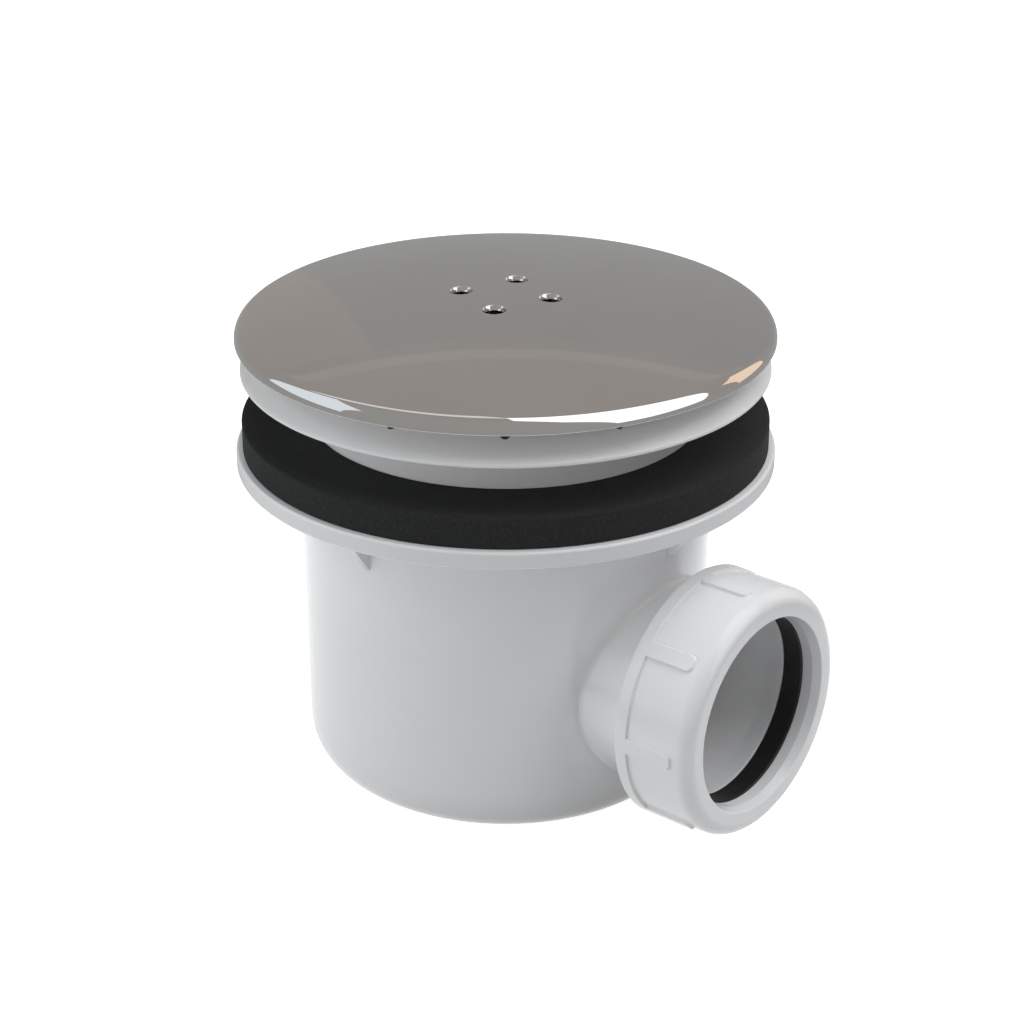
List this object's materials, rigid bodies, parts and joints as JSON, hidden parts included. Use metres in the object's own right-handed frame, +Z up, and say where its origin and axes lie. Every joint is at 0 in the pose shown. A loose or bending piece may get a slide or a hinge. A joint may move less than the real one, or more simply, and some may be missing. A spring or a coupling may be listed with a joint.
{
  "type": "shower trap",
  "caption": "Shower trap: domed chrome cover on a slotted strainer, clamping flange and foam seal for the tray, and a round body with a dip tube, a cup and a level outlet with a union nut.",
  "frame": {"origin": "middle of the body's flat base, on the axis of the waste", "axes": "+Z up along the waste's axis, +X along the outlet, away from the body"},
  "size_m": [0.1259, 0.1142, 0.1062],
  "materials": {
    "white_plastic": "smooth white moulding, soft gloss",
    "chrome": "mirror chrome plating",
    "foam_rubber": "matte, finely pored",
    "black_rubber": "smooth, dull"
  },
  "bodies": {
    "root": {"body": "white_plastic", "lower_seal": "foam_rubber", "upper_flange": "white_plastic", "strainer": "white_plastic", "cover": "chrome", "dip_tube": "white_plastic", "dip_tube_ring": "black_rubber", "seal_cup": "white_plastic", "union_nut": "white_plastic", "outlet_seal": "black_rubber"}
  },
  "joints": []
}
